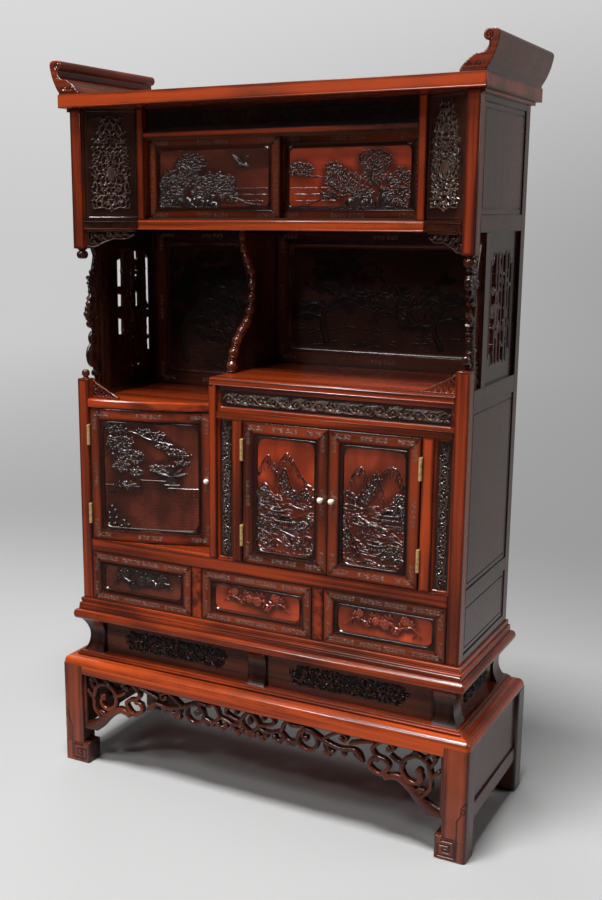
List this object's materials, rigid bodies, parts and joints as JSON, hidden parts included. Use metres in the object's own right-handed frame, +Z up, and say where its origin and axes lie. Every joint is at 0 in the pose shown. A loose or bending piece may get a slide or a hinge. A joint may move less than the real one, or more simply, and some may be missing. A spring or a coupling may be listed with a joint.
{
  "type": "shelf cabinet",
  "caption": "Carved hardwood display cabinet on a pierced stand, with staggered open bays, bowed and panelled cupboards, drawers and sliding doors under a slab with scroll ends.",
  "frame": {"origin": "on the floor, under the middle of the stand", "axes": "+X to the right seen from the front, +Y to the back, +Z up"},
  "size_m": [1.09, 0.43, 1.752],
  "materials": {
    "rosewood": "polished, red-brown with dark figure",
    "carved_rosewood": "carved, dark stained and waxed",
    "inner_wood": "planed, oiled",
    "brass": "worn satin",
    "bone": "polished bone"
  },
  "bodies": {
    "carcase": {"back_panels": "inner_wood", "back_posts": "rosewood", "bay_back_panels": "carved_rosewood", "bay_frames": "rosewood", "bay_side_panels": "carved_rosewood", "canted_panels": "carved_rosewood", "carved_brackets": "carved_rosewood", "carved_strips": "carved_rosewood", "case_floor": "inner_wood", "centre_partition": "rosewood", "cornice_fillets": "rosewood", "divider_edge": "rosewood", "divider_panel": "rosewood", "door_surround": "rosewood", "drawer_frame": "rosewood", "front_posts": "rosewood", "hinge_frame_leaves": "brass", "left_shelf": "rosewood", "post_turnings": "rosewood", "right_shelf": "rosewood", "scroll_ends": "rosewood", "side_panels": "rosewood", "side_rails": "rosewood", "slide_surround": "rosewood", "slide_tracks": "inner_wood", "spandrels": "carved_rosewood", "stand_apron": "carved_rosewood", "stand_legs": "rosewood", "stand_rails": "rosewood", "stand_side_panels": "rosewood", "stand_top": "rosewood", "step_moulding": "rosewood", "top_slab": "rosewood", "torus_moulding": "rosewood", "upper_floor": "rosewood", "waist_panels": "carved_rosewood", "waist_posts": "rosewood"},
    "left_door": {"left_door_frame": "rosewood", "left_door_panel": "carved_rosewood", "left_door_knob": "bone", "left_door_hinges": "brass"},
    "middle_door": {"middle_door_frame": "rosewood", "middle_door_panel": "carved_rosewood", "middle_door_knob": "bone", "middle_door_hinges": "brass"},
    "right_door": {"right_door_frame": "rosewood", "right_door_panel": "carved_rosewood", "right_door_knob": "bone", "right_door_hinges": "brass"},
    "left_slider": {"left_slider_frame": "rosewood", "left_slider_panel": "carved_rosewood"},
    "right_slider": {"right_slider_frame": "rosewood", "right_slider_panel": "carved_rosewood"},
    "drawer_1": {"drawer_1_front": "rosewood", "drawer_1_box": "inner_wood"},
    "drawer_2": {"drawer_2_front": "rosewood", "drawer_2_box": "inner_wood"},
    "drawer_3": {"drawer_3_front": "rosewood", "drawer_3_box": "inner_wood"}
  },
  "joints": [
    {"name": "left_door_swing", "type": "hinge", "parent": "carcase", "child": "left_door", "pos_m": [-0.4683, -0.181, 0.768], "axis": [0, 0, -1], "range_deg": [0, 105]},
    {"name": "middle_door_swing", "type": "hinge", "parent": "carcase", "child": "middle_door", "pos_m": [-0.0353, -0.181, 0.77], "axis": [0, 0, -1], "range_deg": [0, 105]},
    {"name": "right_door_swing", "type": "hinge", "parent": "carcase", "child": "right_door", "pos_m": [0.4003, -0.181, 0.77], "axis": [0, 0, 1], "range_deg": [0, 105]},
    {"name": "drawer_1_slide", "type": "slide", "parent": "carcase", "child": "drawer_1", "axis": [0, -1, 0], "range_m": [0, 0.22]},
    {"name": "drawer_2_slide", "type": "slide", "parent": "carcase", "child": "drawer_2", "axis": [0, -1, 0], "range_m": [0, 0.22]},
    {"name": "drawer_3_slide", "type": "slide", "parent": "carcase", "child": "drawer_3", "axis": [0, -1, 0], "range_m": [0, 0.22]},
    {"name": "left_slider_slide", "type": "slide", "parent": "carcase", "child": "left_slider", "axis": [1, 0, 0], "range_m": [0, 0.334]},
    {"name": "right_slider_slide", "type": "slide", "parent": "carcase", "child": "right_slider", "axis": [-1, 0, 0], "range_m": [0, 0.334]}
  ]
}
